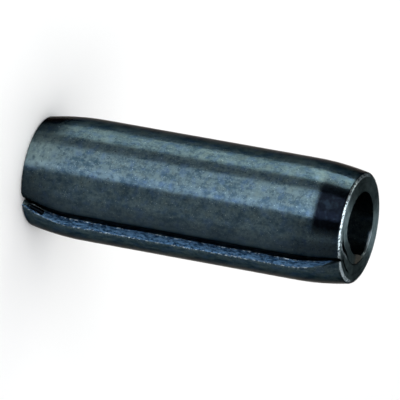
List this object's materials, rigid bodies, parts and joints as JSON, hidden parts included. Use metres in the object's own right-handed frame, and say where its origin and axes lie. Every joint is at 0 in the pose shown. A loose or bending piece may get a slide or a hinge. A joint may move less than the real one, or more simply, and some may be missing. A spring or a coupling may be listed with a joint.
{
  "type": "coiled spring pin",
  "caption": "Coiled spring pin: spring steel strip rolled into overlapping wraps round an open bore, with swaged ends and a long seam along one side.",
  "frame": {"origin": "centre of the lower end face, on the axis of the pin's body, where it stands", "axes": "+Z along the axis towards the upper end; seen from above, the seam lies 34.5 degrees clockwise of +X and the strip runs inwards anticlockwise"},
  "size_m": [0.0126, 0.0126, 0.035],
  "materials": {
    "oiled_steel": "satin"
  },
  "bodies": {
    "root": {"roll_pin": "oiled_steel"}
  },
  "joints": []
}
